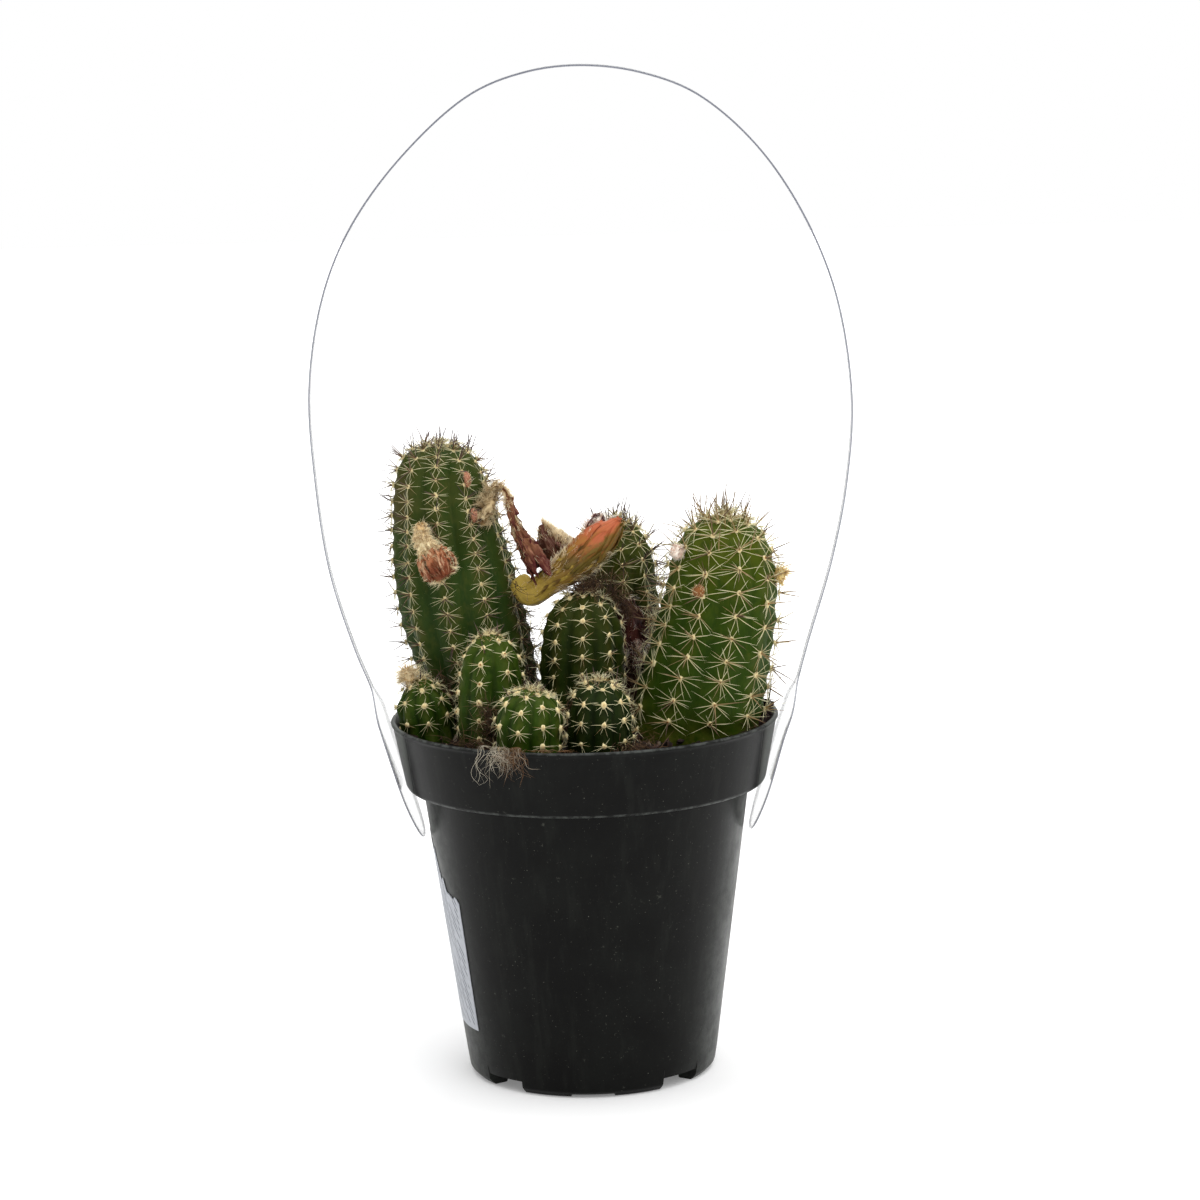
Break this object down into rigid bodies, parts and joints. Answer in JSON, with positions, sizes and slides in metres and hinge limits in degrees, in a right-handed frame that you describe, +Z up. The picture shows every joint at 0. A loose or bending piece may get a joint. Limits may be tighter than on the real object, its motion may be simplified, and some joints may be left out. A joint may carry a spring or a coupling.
{
  "type": "potted mercury echinopsis",
  "caption": "Cluster of ribbed, spined columnar cacti with a flower bud and dried blooms, in a round black nursery pot with a clear carry handle.",
  "frame": {"origin": "on the table, under the middle of the pot's foot", "axes": "+Z up, the viewer stands on the -Y side, +X to the right; the carry handle spans X"},
  "size_m": [0.1412, 0.102, 0.2643],
  "materials": {
    "pot": "satin black moulded plastic",
    "handle": "thin clear plastic film",
    "label": "matt paper sticker, torn",
    "soil": "coarse dark peat and bark mix",
    "stem_dark": "waxy dark green skin, cream spines",
    "stem_green": "waxy green skin, cream spines",
    "stem_bright": "waxy bright green skin, long cream spines",
    "bud_skin": "olive scaly skin with brown hairs",
    "petals": "soft salmon petals",
    "wool": "matted tan wool",
    "pink_wool": "matted pinkish wool",
    "yellow_wool": "matted yellow wool",
    "dried_petals": "dry crumpled petals",
    "maroon_petals": "dry dark petals and wool",
    "brown_scales": "dry brown scales",
    "roots": "dry root hairs"
  },
  "bodies": {
    "root": {"pot": "pot", "soil": "soil", "stem_tall_left": "stem_dark", "stem_right": "stem_bright", "stem_back": "stem_green", "stem_center": "stem_dark", "stem_front_left": "stem_green", "stem_small_left": "stem_green", "stem_small_front_left": "stem_green", "stem_small_front_right": "stem_dark", "bud_tube": "bud_skin", "bud_petals": "petals", "front_bloom_wool": "wool", "front_bloom_petals": "dried_petals", "side_wool": "wool", "hanging_bloom": "dried_petals", "cone_bloom": "maroon_petals", "back_bloom": "pink_wool", "low_bloom": "maroon_petals", "right_bud": "pink_wool", "right_brown_bud": "brown_scales", "right_side_tuft": "yellow_wool", "tall_bud_upper": "petals", "tall_bud_lower": "petals", "small_left_tuft": "wool", "root_hairs": "roots", "label": "label", "handle": "handle"}
  },
  "joints": []
}
